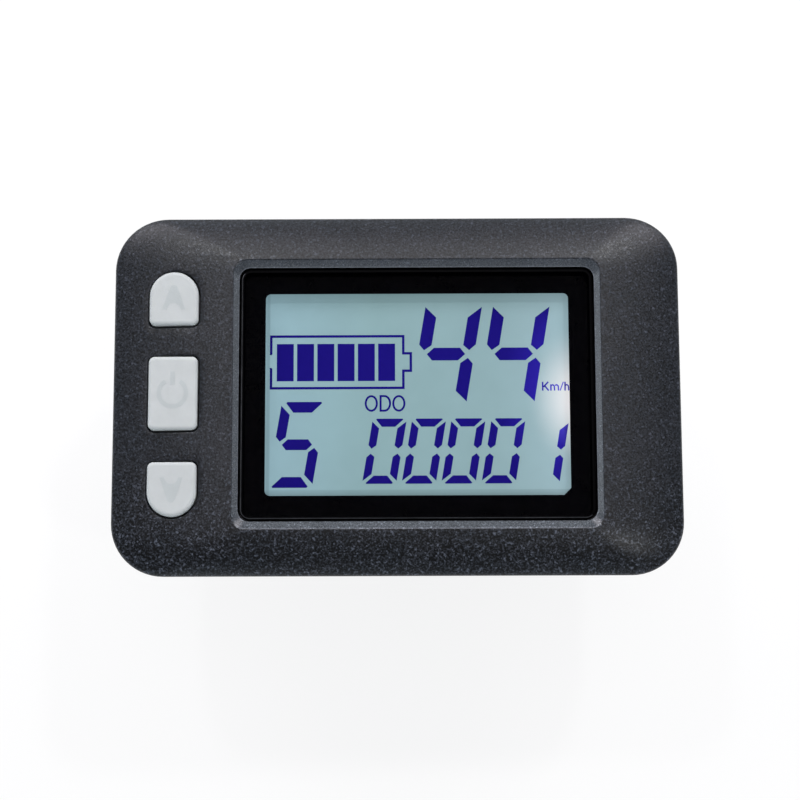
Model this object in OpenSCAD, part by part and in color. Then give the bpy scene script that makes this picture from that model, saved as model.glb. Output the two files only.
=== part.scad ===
// Handlebar display for an electric bicycle.
// X runs along the handlebar, +Y is the top of the picture and the way the bicycle rides,
// and +Z comes out of the face. The origin is the centre of the clamp's bore.

/* [Housing] */
// Width of the housing, along the handlebar
body_w = 86; // [86:1:96]
// Height of the face, from the rider's edge to the far edge
body_h = 54.8; // [54.8:0.4:62]
// Radius of the housing's four corners
body_r = 8; // [7:0.5:8.5]
// Thickness of the side walls at the rim
wall_t = 2.8; // [2.6:0.1:2.9]
// How far the side walls lean in between the rim and the parting line
wall_lean = 0.6; // [0.3:0.1:0.7]
// Size of the bevel round the rim
rim_bevel = 0.5; // [0.3:0.1:0.6]
// Thickness of the front housing's roof
roof_t = 2; // [1.6:0.1:2.2]
// Thickness of the rear housing's floor
floor_t = 2; // [1.8:0.1:2.6]
// Height of the parting line above the back face
parting_h = 5; // [4.8:0.1:5.2]
// How far the raised edge of the window stands above the rim
face_drop = 2.4; // [1.6:0.2:2.8]
// Size of the bevel round the back
back_bevel = 0.8; // [0.6:0.1:1]

/* [Window] */
// Face between the lens and the keys
lens_space = 6.35; // [6.2:0.05:7]
// Distance from the lens to the side of the housing away from the keys
lens_margin = 13.25; // [12.8:0.05:14]
// Distance from the lens to the top and to the bottom of the housing
lens_border = 8.3; // [8.1:0.1:9]
// Corner radius of the lens
lens_r = 1.6; // [1.2:0.2:2.4]
// Thickness of the lens
lens_t = 1.5; // [1:0.1:2]
// How far the lens lies below the raised edge
lens_sink = 0.9; // [0.5:0.1:1.2]
// Width of the chamfer round the lens
chamfer_w = 1.2; // [0.8:0.05:1.4]
// Width of the black mask's two upright bands
mask_side = 3.6; // [3.2:0.1:5]
// Width of the black mask's upper and lower bands
mask_end = 3.55; // [3.2:0.05:5]

/* [Keys] */
// Width of the three keys
key_w = 7.4; // [6.6:0.1:7.4]
// Distance from the top and the bottom of the housing to the row of keys
key_margin = 8.8; // [8.6:0.1:11]
// Share of the row that the square power key takes
power_key_share = 0.3; // [0.26:0.005:0.31]
// Share of the row that each arrow key takes, with its round end
arrow_key_share = 0.22; // [0.2:0.005:0.225]
// Corner radius of the keys
key_r = 0.9; // [0.8:0.1:1.2]
// How far a key travels when it is pressed
key_travel = 0.6; // [0.4:0.05:0.7]
// Height of the keys above the raised edge of the window
key_rise = 0.2; // [0:0.1:1]

/* [Display module] */
// Width of the glass that the mask hides at each side
glass_side = 2.4; // [2.2:0.1:2.6]
// Height of the glass that the mask hides at each end, without its contact ledge
glass_end = 2.95; // [2.8:0.05:3.2]
// Width of the contact ledge along the front glass
ledge_w = 2.6; // [2.2:0.2:2.8]
// Thickness of each of the two glass plates
glass_t = 0.9; // [0.7:0.1:1.1]
// Thickness of the light guide
guide_t = 2.45; // [2:0.05:2.6]
// Thickness of the circuit board
board_t = 1.2; // [1:0.1:1.6]
// Room for components behind the board
parts_gap = 3.2; // [3.1:0.1:3.6]

/* [Clamp] */
// Radius of the handlebar
bar_r = 11.1; // [10:0.1:12.7]
// Thickness of the rubber liners
liner_t = 1.6; // [1:0.1:2]
// Width of the clamp along the bar
clamp_w = 18; // [16:1:19]
// Thickness of the clamp's ring
ring_t = 3; // [2.4:0.2:3.6]
// Thickness of each bolt lug
lug_t = 5.5; // [5:0.5:7]
// Length of each lug beyond the ring
lug_l = 7; // [7:0.5:8]
// Radius of the clamp bolts
bolt_r = 2; // [1.5:0.25:2]

/* [Cable inlet] */
// Radius of the cable that the grommet takes
cable_r = 2; // [1.5:0.1:2.3]
// Length of the grommet's nose behind the housing
nose_l = 3; // [2:0.5:4]

/* [Hidden] */
$fn = 48;
// Roundness of the shapes that are blended from layers
blend_fn = 32;
// Overrun of every cut
cut = 0.5;
// Thickness of a layer in a blended shape
layer_t = 0.02;
// Gap between pieces that are assembled side by side
fit_gap = 0.1;
// Gap between a screw and its hole, or a liner and its ring
slip_gap = 0.05;

// Levels of the stack, from the back face to the raised edge of the window
neck_t = 1;
reflector_t = 0.15;
polarizer_t = 0.2;
cell_t = 0.1;
cushion_t = 0.4;
ledge_t = 1.2;
tape_t = 0.2;
mask_t = 0.1;
back_z = bar_r + liner_t + ring_t + neck_t;
floor_z = back_z + floor_t;
parting_z = back_z + parting_h;
board_z = floor_z + parts_gap;
board_top = board_z + board_t;
guide_z = board_top + reflector_t;
rear_polarizer_z = guide_z + guide_t;
rear_glass_z = rear_polarizer_z + polarizer_t;
cell_z = rear_glass_z + glass_t;
front_glass_z = cell_z + cell_t;
front_polarizer_z = front_glass_z + glass_t;
cushion_z = front_polarizer_z + polarizer_t;
ceiling_z = cushion_z + cushion_t;
tape_z = ceiling_z + ledge_t;
mask_z = tape_z + tape_t;
lens_z = mask_z + mask_t;
lens_top = lens_z + lens_t;
edge_z = lens_top + lens_sink;
rim_z = edge_z - face_drop;
lean_share = wall_lean / (rim_z - rim_bevel - parting_z);

// Row of keys
web_w = 1.1;
mat_rim = 0.6;
mat_gap = 0.2;
mat_w = key_w + 2 * (web_w + mat_rim);
lip_t = 0.8;
key_inset = wall_t + fit_gap + lip_t + mat_gap + mat_w / 2;
key_x = key_inset - body_w / 2;
key_row_h = body_h - 2 * key_margin;
power_key_h = power_key_share * key_row_h;
arrow_key_h = arrow_key_share * key_row_h;
key_space = (key_row_h - power_key_h) / 2 - arrow_key_h;
mat_h = key_row_h + 2 * (web_w + mat_rim);
arrow_y = (key_row_h - arrow_key_h) / 2;

// Window
lens_gap = 0.15;
land_w = 0.15;
lens_w = body_w - lens_margin - lens_space - key_inset - key_w / 2;
lens_h = body_h - 2 * lens_border;
lens_x = body_w / 2 - lens_margin - lens_w / 2;
view_w = lens_w - 2 * mask_side;
view_h = lens_h - 2 * mask_end;
pocket_w = lens_w + 2 * lens_gap;
pocket_h = lens_h + 2 * lens_gap;
pocket_r = lens_r + lens_gap;
pocket_wall = 1.6;
chamfer_out_w = pocket_w + 2 * chamfer_w;
chamfer_out_h = pocket_h + 2 * chamfer_w;
chamfer_out_r = pocket_r + chamfer_w;
edge_w = chamfer_out_w + 2 * land_w;
edge_h = chamfer_out_h + 2 * land_w;
view_r = 0.8;
view_cut = 1.5;
sight_rim = 0.5;
sight_w = view_w + 2 * sight_rim;
sight_h = view_h + 2 * sight_rim;
sight_r = 1.2;
tape_inset = 0.4;
tape_outset = 0.3;
mask_inset = 0.1;

// Display module
lcd_w = view_w + 2 * glass_side;
lcd_h = view_h + 2 * glass_end;
lcd_shift = 0.4;
lcd_x = lens_x + lcd_shift;
polarizer_inset = 0.3;
glass_r = 0.3;
seal_w = 0.8;
frame_gap = 0.15;
frame_t = 1.4;
frame_in_w = lcd_w + 2 * frame_gap;
frame_in_top = lcd_h / 2 + frame_gap;
frame_in_low = lcd_h / 2 + ledge_w + frame_gap;
frame_w = frame_in_w + 2 * frame_t;
frame_h = frame_in_top + frame_in_low + 2 * frame_t;
frame_y = (frame_in_top - frame_in_low) / 2;
frame_r = 1;
frame_in_r = 0.3;
frame_peg_r = 0.5;
zebra_w = 1.6;
zebra_inset = 3.5;
zebra_l = lcd_w - 2 * zebra_inset;
led_size = [1.2, 3, 1.4];
led_gap = 0.1;
led_pitch_share = 0.33;
led_shares = [-1, 0, 1];

// Keys and what they press
key_top = edge_z + key_rise;
key_gap = 0.25;
key_fillet_r = 0.7;
fillet_angles = [30, 60, 90];
key_sink = 0.4;
key_bottom = ceiling_z - key_sink;
web_t = 0.35;
web_h = 1.4;
web_gap = 0.2;
mat_t = 1.2;
mat_top = key_bottom - web_h;
mat_z = mat_top - mat_t;
mat_r = 1.2;
mat_hole_grow = web_w - 2 * web_t;
nub_r = 1.5;
nub_t = 0.6;
peg_r = 0.6;
peg_l = 0.9;
peg_y = (power_key_h + key_space) / 2;
peg_x = key_w / 2;

// Tactile switches
switch_w = 6;
switch_r = 0.4;
switch_base_t = 3.1;
switch_cover_t = 0.3;
nub_gap = key_travel / 2 + slip_gap;
plunger_top = key_bottom - nub_t - nub_gap;
well_r = 2.5;
well_t = 1.9;
plunger_r = 1.7;
plunger_flange_r = 2.3;
plunger_flange_t = 0.6;
plunger_gap = 0.1;
dome_t = 0.15;
dome_r = 2.2;
dome_top_r = 0.9;
terminal_w = 0.7;
terminal_l = 0.9;
terminal_t = 0.25;
terminal_y = 2.25;
switch_gap = 0.3;

// Corner screws, their pillars and the lip between the two shells
boss_inset = 5.2;
boss_r = 2.6;
boss_gap = 0.2;
screw_r = 1.1;
screw_l = 8;
screw_head_r = 1.8;
screw_head_t = 1.5;
recess_r = 2;
recess_t = 2.4;
pilot_over = 0.5;
lip_h = 1.5;
groove_w = 1;
groove_t = 0.8;

// Circuit board
board_gap = 0.3;
board_inset = wall_t + fit_gap + lip_t + board_gap;
board_w = body_w - 2 * board_inset;
board_h = body_h - 2 * board_inset;
board_r = body_r - wall_t - lip_t;
notch_gap = 0.3;
stud_r = 2.1;
stud_gap = 0.25;
stud_screw_r = 0.9;
stud_screw_l = 4;
stud_head_r = 1.7;
stud_head_t = 1.2;
stud_pilot_l = stud_screw_l - board_t + pilot_over;
stud_left_x = key_x + mat_w / 2 + stud_gap + stud_r;
stud_right_x = lcd_x + frame_w / 2 + stud_gap + 2 * stud_r;
stud_left_share = 0.84;
stud_right_share = 0.5;

// Components on the board. The chips keep clear of the insert bosses by chip_gap, and the
// other places are shares of half the board.
chip_gap = 1.6;
mcu_size = [10, 10, 1.4];
mcu_share = -0.16;
mcu_leads = 9;
driver_size = [10, 10, 1.4];
driver_share = 0.05;
driver_leads = 9;
memory_size = [5, 4, 1.4];
memory_share = -0.5;
memory_leads = 4;
lead_size = [1, 0.35, 0.2];
lead_pitch = 1;
regulator_size = [6.5, 6.1, 2.3];
regulator_shares = [0.52, -0.5];
regulator_tab = [5, 1.4, 0.5];
inductor_size = [6, 6, 2.6];
inductor_shares = [0.76, -0.06];
inductor_r = 0.6;
capacitor_r = 2.3;
capacitor_h = 3.8;
capacitor_foot = [4.9, 4.9, 0.6];
header_size = [5, 12, 2.8];
header_gap = 3.9;
header_wall = 0.7;
header_pin_w = 0.5;
header_pitch = 2;
header_count = 5;
resistor_size = [1.6, 0.8, 0.5];
resistor_shares = [
    [-0.5, 0.1], [-0.5, -0.02], [-0.5, -0.14], [-0.62, 0.1],
    [-0.62, -0.02], [-0.62, -0.14], [-0.3, -0.6], [-0.42, -0.6]
];

// Clamp
liner_lip_t = 1;
liner_lip_h = 1.5;
liner_split = 0.6;
ring_r = bar_r + liner_t;
ring_out_r = ring_r + ring_t;
ring_bevel = 1;
lug_split = 1.5;
lug_y = ring_out_r + lug_l;
lug_r = 2.5;
bolt_share = 0.36;
bolt_y = ring_out_r + bolt_share * lug_l;
bolt_end = 0.5;
bolt_l = 2 * lug_t + lug_split - bolt_end;
bolt_head_r = 1.7 * bolt_r;
bolt_head_t = 2 * bolt_r;
nut_r = 2.02 * bolt_r;
nut_t = 1.6 * bolt_r;
head_bevel_share = 0.15;
hex_key_share = 0.86;
hex_depth_share = 0.5;
pad_w = 36;
pad_h = 18;
pad_r = 5;
pad_t = 3;
pad_sink = 0.8;
pad_gap = 0.15;
pad_z = back_z + pad_sink - pad_t;
neck_h = 18;
insert_x = 13.4;
insert_r = 2.3;
insert_l = 3.4;
insert_boss_r = 3.6;
insert_boss_h = 4.6;
pad_screw_r = 1.5;
pad_head_r = 2.7;
pad_head_t = 1.6;
pad_screw_l = pad_t + insert_l - pad_head_t - bolt_end;

// Cable inlet
grommet_wall = 1.1;
grommet_r = cable_r + grommet_wall;
grommet_lip = 1;
flange_out_t = 1;
flange_in_t = 0.8;
nose_wall = 0.8;
inlet_inset = 10.95;
inlet_x = stud_right_x - inlet_inset;
inlet_y = 15;
header_x = inlet_x - grommet_r - grommet_lip - header_gap - header_size[0] / 2;

// Shapes that several pieces share

module round_rect(w, h, r) {
    square([w - 2 * r, h], center = true);
    square([w, h - 2 * r], center = true);
    for (x = [-1, 1], y = [-1, 1])
        translate([x * (w / 2 - r), y * (h / 2 - r)]) circle(r);
}

module plate(w, h, r, t, z, x = 0, y = 0) {
    translate([x, y, z]) linear_extrude(t) round_rect(w, h, r);
}

// A plate with an opening, both given as [width, height, radius]
module ring_plate(out, hole, t, z, x = 0, y = 0) {
    translate([x, y, z]) linear_extrude(t) difference() {
        round_rect(out[0], out[1], out[2]);
        round_rect(hole[0], hole[1], hole[2]);
    }
}

// Holes and pillars at the housing's four corners
module at_corners() {
    for (x = [-1, 1], y = [-1, 1])
        translate([x * (body_w / 2 - boss_inset), y * (body_h / 2 - boss_inset), 0])
            children();
}

module at_studs() {
    for (y = [-1, 1]) {
        translate([stud_left_x, y * stud_left_share * board_h / 2, 0]) children();
        translate([stud_right_x, y * stud_right_share * board_h / 2, 0]) children();
    }
}

module at_pad_screws() {
    for (x = [-1, 1]) translate([x * insert_x, 0, 0]) children();
}

module at_clamp_bolts() {
    for (y = [-1, 1]) translate([0, y * bolt_y, 0]) children();
}

// Outlines of the keys, drawn about their own centres and grown all round

module power_outline(grow = 0) {
    round_rect(key_w + 2 * grow, power_key_h + 2 * grow, key_r + grow);
}

// Round at its far end, with small corners towards the power key
module arrow_outline(grow = 0) {
    w = key_w / 2 + grow;
    low = -arrow_key_h / 2 - grow;
    r = key_r + grow;
    middle = arrow_key_h / 2 - key_w / 2;
    intersection() {
        translate([0, middle]) circle(w);
        translate([-w, low]) square([2 * w, middle + w - low]);
    }
    translate([-w, low + r]) square([2 * w, middle - low - r]);
    translate([r - w, low]) square([2 * (w - r), r + key_r]);
    for (x = [-1, 1]) translate([x * (w - r), low + r]) circle(r);
}

// place is 1 for the up key, 0 for the power key and -1 for the down key
module at_key(place) {
    translate([key_x, place * arrow_y, 0]) rotate(place < 0 ? 180 : 0) children();
}

module key_outline(place, grow = 0) {
    if (place == 0) power_outline(grow);
    else arrow_outline(grow);
}

// All three outlines in place, from z over a height of t
module key_holes(grow, z, t) {
    for (place = [-1, 0, 1])
        at_key(place) translate([0, 0, z]) linear_extrude(t) key_outline(place, grow);
}

// Housing

// A plate with the outline of the housing, moved in by inset
module body_plate(inset, t, z) {
    plate(body_w - 2 * inset, body_h - 2 * inset, body_r - inset, t, z);
}

// Cuts one sloping side of the face, from the window's edge down to the rim.
// turn points the slope, and from is the distance of its upper edge from the middle.
module slope_cut(turn, from, half, drop) {
    rotate(turn)
        translate([from, 0, edge_z - drop])
            rotate([0, atan2(face_drop, half - from), 0])
                translate([-cut, -body_w, 0])
                    cube([body_w, 2 * body_w, body_h]);
}

// The face rises in a shallow pyramid from the rim to the window's edge.
// drop lowers it to the hollow inside.
module slope_cuts(drop = 0) {
    slope_cut(0, edge_w / 2 + lens_x, body_w / 2, drop);
    slope_cut(180, edge_w / 2 - lens_x, body_w / 2, drop);
    slope_cut(90, edge_h / 2, body_h / 2, drop);
    slope_cut(270, edge_h / 2, body_h / 2, drop);
}

// The walls lean in below the rim, which is bevelled
module front_outside() {
    difference() {
        hull() {
            body_plate(wall_lean, layer_t, parting_z, $fn = blend_fn);
            body_plate(0, layer_t, rim_z - rim_bevel, $fn = blend_fn);
            body_plate(rim_bevel, face_drop, rim_z, $fn = blend_fn);
        }
        slope_cuts();
    }
}

// Runs on past both ends of the chamfer, at the chamfer's own slope
module chamfer_cut() {
    over_z = cut * lens_sink / chamfer_w;
    hull() {
        plate(
            pocket_w - 2 * cut, pocket_h - 2 * cut, pocket_r - cut, layer_t,
            lens_top - over_z, lens_x, $fn = blend_fn
        );
        plate(
            chamfer_out_w + 2 * cut, chamfer_out_h + 2 * cut, chamfer_out_r + cut, layer_t,
            edge_z + over_z, lens_x, $fn = blend_fn
        );
    }
}

module front_inner_blocks() {
    plate(
        pocket_w + 2 * pocket_wall, pocket_h + 2 * pocket_wall, pocket_r + pocket_wall,
        edge_z - ceiling_z, ceiling_z, lens_x
    );
    plate(mat_w, mat_h, mat_r, edge_z - mat_top, mat_top, key_x);
    at_corners()
        translate([0, 0, parting_z]) cylinder(r = boss_r, h = edge_z - parting_z);
}

module front_housing() {
    screw_top = back_z + recess_t + screw_l + pilot_over;
    color("#34343a") difference() {
        union() {
            difference() {
                front_outside();
                difference() {
                    body_plate(wall_t, edge_z - roof_t - parting_z + cut, parting_z - cut);
                    slope_cuts(roof_t);
                }
            }
            difference() {
                front_inner_blocks();
                slope_cuts();
            }
        }
        plate(pocket_w, pocket_h, pocket_r, edge_z, tape_z, lens_x);
        plate(sight_w, sight_h, sight_r, edge_z, parting_z, lens_x);
        chamfer_cut();
        key_holes(key_gap, mat_z, edge_z);
        key_holes(web_w + web_gap, mat_z, ceiling_z - mat_z);
        at_corners()
            translate([0, 0, back_z])
                cylinder(r = screw_r + slip_gap, h = screw_top - back_z);
    }
}

// The walls lean in on towards the bevelled back
module rear_solid() {
    low_inset = wall_lean + lean_share * (parting_h - back_bevel);
    hull() {
        body_plate(low_inset + back_bevel, layer_t, back_z, $fn = blend_fn);
        body_plate(low_inset, layer_t, back_z + back_bevel, $fn = blend_fn);
        body_plate(wall_lean, layer_t, parting_z - layer_t, $fn = blend_fn);
    }
}

module rear_housing() {
    lip = wall_t + fit_gap;
    inner = lip + lip_t;
    lip_z = parting_z - lip_h;
    color("#2c2c31") difference() {
        union() {
            difference() {
                union() {
                    rear_solid();
                    body_plate(lip, 2 * lip_h, lip_z);
                }
                body_plate(wall_t, lip_z - floor_z, floor_z);
                body_plate(inner, parting_h + lip_h, lip_z);
                at_corners()
                    translate([0, 0, parting_z])
                        cylinder(r = boss_r + notch_gap, h = 2 * lip_h);
            }
            at_corners()
                translate([0, 0, floor_z - cut])
                    cylinder(r = boss_r, h = parting_z - boss_gap - floor_z + cut);
            at_studs() translate([0, 0, floor_z - cut]) cylinder(r = stud_r, h = parts_gap + cut);
            at_pad_screws()
                translate([0, 0, floor_z - cut])
                    cylinder(r = insert_boss_r, h = insert_boss_h - floor_t + cut);
        }
        seal_ring(0, groove_t + lip_h);
        at_corners() {
            translate([0, 0, back_z - cut]) cylinder(r = recess_r, h = recess_t + cut);
            translate([0, 0, back_z]) cylinder(r = screw_r + fit_gap, h = parting_h);
        }
        at_studs()
            translate([0, 0, board_z - stud_pilot_l])
                cylinder(r = stud_screw_r + slip_gap, h = stud_pilot_l + cut);
        plate(
            pad_w + 2 * pad_gap, pad_h + 2 * pad_gap, pad_r + pad_gap, pad_sink + cut,
            back_z - cut
        );
        at_pad_screws()
            translate([0, 0, back_z])
                cylinder(r = insert_r + slip_gap, h = pad_sink + insert_l + slip_gap);
        translate([inlet_x, inlet_y, back_z - cut])
            cylinder(r = grommet_r, h = floor_t + 2 * cut);
    }
}

// Runs round the middle of the wall's upper edge
module seal_ring(gap, t) {
    out = (wall_t + wall_lean - groove_w) / 2 + gap;
    in = (wall_t + wall_lean + groove_w) / 2 - gap;
    ring_plate(
        [body_w - 2 * out, body_h - 2 * out, body_r - out],
        [body_w - 2 * in, body_h - 2 * in, body_r - in],
        t, parting_z - groove_t
    );
}

module housing_seal() {
    color("#4a4a4e") seal_ring(slip_gap, groove_t);
}

// A cap screw that points up, with its seat at z = 0 and a bevelled head
module screw(r, l, head_r, head_t) {
    bevel = head_bevel_share * head_t;
    cylinder(r = r, h = l);
    difference() {
        union() {
            translate([0, 0, bevel - head_t]) cylinder(r = head_r, h = head_t - bevel);
            translate([0, 0, -head_t]) cylinder(r1 = head_r - bevel, r2 = head_r, h = bevel);
        }
        translate([0, 0, -head_t - cut])
            cylinder(r = hex_key_share * r, h = hex_depth_share * head_t + cut, $fn = 6);
    }
}

module housing_screws() {
    color("#8d9095")
        at_corners()
            translate([0, 0, back_z + recess_t])
                screw(screw_r, screw_l, screw_head_r, screw_head_t);
}

// Window and display

module window_lens() {
    color("#0b0c0f", 0.6) plate(lens_w, lens_h, lens_r, lens_t, lens_z, lens_x);
}

// Clear area of the mask, with its lower right corner cut off
module view_outline() {
    difference() {
        round_rect(view_w, view_h, view_r);
        translate([view_w / 2, -view_h / 2])
            rotate(45)
                square(view_cut * sqrt(2), center = true);
    }
}

module window_mask() {
    color("#050507") translate([lens_x, 0, mask_z]) linear_extrude(mask_t) difference() {
        round_rect(lens_w - 2 * mask_inset, lens_h - 2 * mask_inset, lens_r - mask_inset);
        view_outline();
    }
}

module window_tape() {
    color("#d8d2c0")
        ring_plate(
            [lens_w - 2 * tape_inset, lens_h - 2 * tape_inset, lens_r - tape_inset],
            [sight_w + 2 * tape_outset, sight_h + 2 * tape_outset, sight_r],
            tape_t, tape_z, lens_x
        );
}

module lcd_cushion() {
    inset = polarizer_inset;
    color("#1b1b1d") difference() {
        plate(
            lcd_w - 2 * inset, lcd_h - 2 * inset, glass_r, cushion_t, cushion_z, lcd_x
        );
        plate(
            sight_w, sight_h, sight_r, cushion_t + 2 * cut, cushion_z - cut, lens_x
        );
    }
}

module polarizer(z) {
    plate(
        lcd_w - 2 * polarizer_inset, lcd_h - 2 * polarizer_inset, glass_r, polarizer_t, z,
        lcd_x
    );
}

module lcd_front_polarizer() {
    color("#9fb6ba") polarizer(front_polarizer_z);
}

module lcd_rear_polarizer() {
    color("#9fb6ba") polarizer(rear_polarizer_z);
}

module lcd_front_glass() {
    color("#b9ced2", 0.7)
        plate(lcd_w, lcd_h + ledge_w, glass_r, glass_t, front_glass_z, lcd_x, -ledge_w / 2);
}

module lcd_rear_glass() {
    color("#b9ced2", 0.7) plate(lcd_w, lcd_h, glass_r, glass_t, rear_glass_z, lcd_x);
}

module lcd_cell_seal() {
    color("#7c8b8e")
        ring_plate(
            [lcd_w - glass_r, lcd_h - glass_r, glass_r],
            [lcd_w - 2 * seal_w, lcd_h - 2 * seal_w, glass_r],
            cell_t, cell_z, lcd_x
        );
}

module light_guide() {
    short = led_size[0] + led_gap;
    color("#e8f0f2")
        plate(lcd_w - short, lcd_h, glass_r, guide_t, guide_z, lcd_x - short / 2);
}

module guide_reflector() {
    short = led_size[0] + led_gap;
    color("#f4f4f2")
        plate(lcd_w - short, lcd_h, glass_r, reflector_t, board_top, lcd_x - short / 2);
}

module backlight_leds() {
    color("#f2ecd0")
        for (s = led_shares)
            translate([
                lcd_x + lcd_w / 2 - led_size[0], s * led_pitch_share * lcd_h - led_size[1] / 2,
                board_top
            ])
                cube(led_size);
}

module lcd_frame() {
    color("#f0f0ec") {
        ring_plate(
            [frame_w, frame_h, frame_r],
            [frame_in_w, frame_h - 2 * frame_t, frame_in_r],
            cushion_z - board_top, board_top, lcd_x, frame_y
        );
        at_frame_pegs() translate([0, 0, board_z]) cylinder(r = frame_peg_r, h = board_t);
    }
}

module at_frame_pegs() {
    for (x = [-1, 1], y = [-1, 1])
        translate([
            lcd_x + x * (frame_w - frame_t) / 2,
            frame_y + y * (frame_h / 2 - frame_t - frame_r), 0
        ])
            children();
}

module zebra_strip() {
    y = -lcd_h / 2 - ledge_w / 2;
    color("#6d6f73")
        translate([lcd_x - zebra_l / 2, y - zebra_w / 2, board_top])
            cube([zebra_l, zebra_w, front_glass_z - board_top]);
}

// Circuit board

module main_board() {
    color("#1f5a35") difference() {
        plate(board_w, board_h, board_r, board_t, board_z);
        at_corners()
            translate([0, 0, board_z - cut])
                cylinder(r = boss_r + notch_gap, h = board_t + 2 * cut);
        at_studs()
            translate([0, 0, board_z - cut])
                cylinder(r = stud_screw_r + fit_gap, h = board_t + 2 * cut);
        at_frame_pegs()
            translate([0, 0, board_z - cut])
                cylinder(r = frame_peg_r + slip_gap, h = board_t + 2 * cut);
        at_keypad_pegs()
            translate([0, 0, board_z - cut])
                cylinder(r = peg_r + slip_gap, h = board_t + 2 * cut);
    }
}

module board_screws() {
    color("#b9bbbf")
        at_studs()
            translate([0, 0, board_top])
                mirror([0, 0, 1])
                    screw(stud_screw_r, stud_screw_l, stud_head_r, stud_head_t);
}

// Places its children under the board, with z = 0 on the board's back and +Z away from it
module under_board(x, y) {
    translate([x, y, board_z]) mirror([0, 0, 1]) children();
}

module under_board_share(shares) {
    under_board(shares[0] * board_w / 2, shares[1] * board_h / 2) children();
}

// side is 1 above the insert bosses and -1 below them
module beside_bosses(share, side, size) {
    y = side * (insert_boss_r + chip_gap + size[1] / 2);
    under_board(share * board_w / 2, y) children();
}

// A chip with a row of leads down its two long sides
module chip(size, leads) {
    lift = lead_size[2];
    translate([-size[0] / 2, -size[1] / 2, lift / 2])
        cube([size[0], size[1], size[2] - lift / 2]);
    for (i = [0 : leads - 1], x = [-1, 1])
        translate([
            x * (size[0] + lead_size[0]) / 2 - lead_size[0] / 2 - x * lift,
            (i - (leads - 1) / 2) * lead_pitch - lead_size[1] / 2, 0
        ])
            cube(lead_size);
}

module mcu_chip() {
    color("#202124") beside_bosses(mcu_share, 1, mcu_size) chip(mcu_size, mcu_leads);
}

module driver_chip() {
    color("#202124")
        beside_bosses(driver_share, -1, driver_size)
            chip(driver_size, driver_leads);
}

module memory_chip() {
    color("#202124")
        beside_bosses(memory_share, 1, memory_size)
            chip(memory_size, memory_leads);
}

module voltage_regulator() {
    size = regulator_size;
    tab = regulator_tab;
    color("#26272a") under_board_share(regulator_shares) {
        translate([-size[0] / 2, -size[1] / 2, 0]) cube(size);
        translate([-tab[0] / 2, size[1] / 2 - cut, 0]) cube([tab[0], tab[1] + cut, tab[2]]);
    }
}

module power_inductor() {
    color("#3a3d42")
        under_board_share(inductor_shares)
            linear_extrude(inductor_size[2])
                round_rect(inductor_size[0], inductor_size[1], inductor_r);
}

module filter_capacitor() {
    foot = capacitor_foot;
    color("#9aa0a6")
        translate([stud_right_x, 0, board_top]) {
            translate([-foot[0] / 2, -foot[1] / 2, 0]) cube(foot);
            cylinder(r = capacitor_r, h = capacitor_h);
        }
}

module chip_resistors() {
    color("#17181a")
        for (shares = resistor_shares)
            under_board_share(shares)
                translate([-resistor_size[0] / 2, -resistor_size[1] / 2, 0])
                    cube(resistor_size);
}

// A shrouded socket that opens towards the cable inlet
module wire_header() {
    size = header_size;
    wall = header_wall;
    pin = header_pin_w;
    color("#e9e4d2") under_board(header_x, insert_boss_r + chip_gap + size[1] / 2) {
        translate([-size[0] / 2, -size[1] / 2, 0]) difference() {
            cube(size);
            translate([wall, wall, wall])
                cube([size[0], size[1] - 2 * wall, size[2] - 2 * wall]);
        }
        for (i = [0 : header_count - 1])
            translate([
                -size[0] / 2, (i - (header_count - 1) / 2) * header_pitch - pin / 2,
                (size[2] - pin) / 2
            ])
                cube([size[0] - wall, pin, pin]);
    }
}

// Keypad

// Room for the switches, w wide, from z over a height of t
module switch_holes(w, z, t) {
    for (place = [-1, 0, 1])
        at_key(place) plate(w, switch_w + 2 * switch_gap, switch_r, t, z);
}

module keypad_mat() {
    color("#c9cdce") difference() {
        plate(mat_w, mat_h, mat_r, mat_t, mat_z, key_x);
        key_holes(mat_hole_grow, mat_z - cut, mat_t + 2 * cut);
        switch_holes(switch_w + 2 * switch_gap, mat_z - cut, mat_t + 2 * cut);
        at_corners()
            translate([0, 0, mat_z - cut])
                cylinder(r = boss_r + notch_gap, h = mat_t + 2 * cut);
    }
}

module at_keypad_pegs() {
    for (x = [-1, 1], y = [-1, 1]) translate([key_x + x * peg_x, y * peg_y, 0]) children();
}

// Stands on the board and carries the keypad's rim
module keypad_frame() {
    color("#2b2c30") {
        difference() {
            plate(mat_w, mat_h, mat_r, mat_z - board_top, board_top, key_x);
            key_holes(mat_hole_grow, board_top - cut, mat_z - board_top + 2 * cut);
            switch_holes(key_w + 2 * mat_hole_grow, board_top - cut, mat_z - board_top + 2 * cut);
            at_corners()
                translate([0, 0, board_top - cut])
                    cylinder(r = boss_r + notch_gap, h = mat_z - board_top + 2 * cut);
        }
        at_keypad_pegs()
            translate([0, 0, board_top - peg_l]) cylinder(r = peg_r, h = peg_l);
    }
}

// A key with a rounded upper edge, and the nub below that reaches the switch
module key_cap(place) {
    color("#cdd3d5") at_key(place) {
        hull() {
            translate([0, 0, key_bottom])
                linear_extrude(layer_t) key_outline(place, $fn = blend_fn);
            for (a = fillet_angles)
                translate([0, 0, key_top - layer_t - key_fillet_r * (1 - cos(a))])
                    linear_extrude(layer_t)
                        key_outline(place, -key_fillet_r * (1 - sin(a)), $fn = blend_fn);
        }
        translate([0, 0, key_bottom - nub_t]) cylinder(r = nub_r, h = nub_t + cut);
    }
}

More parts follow.
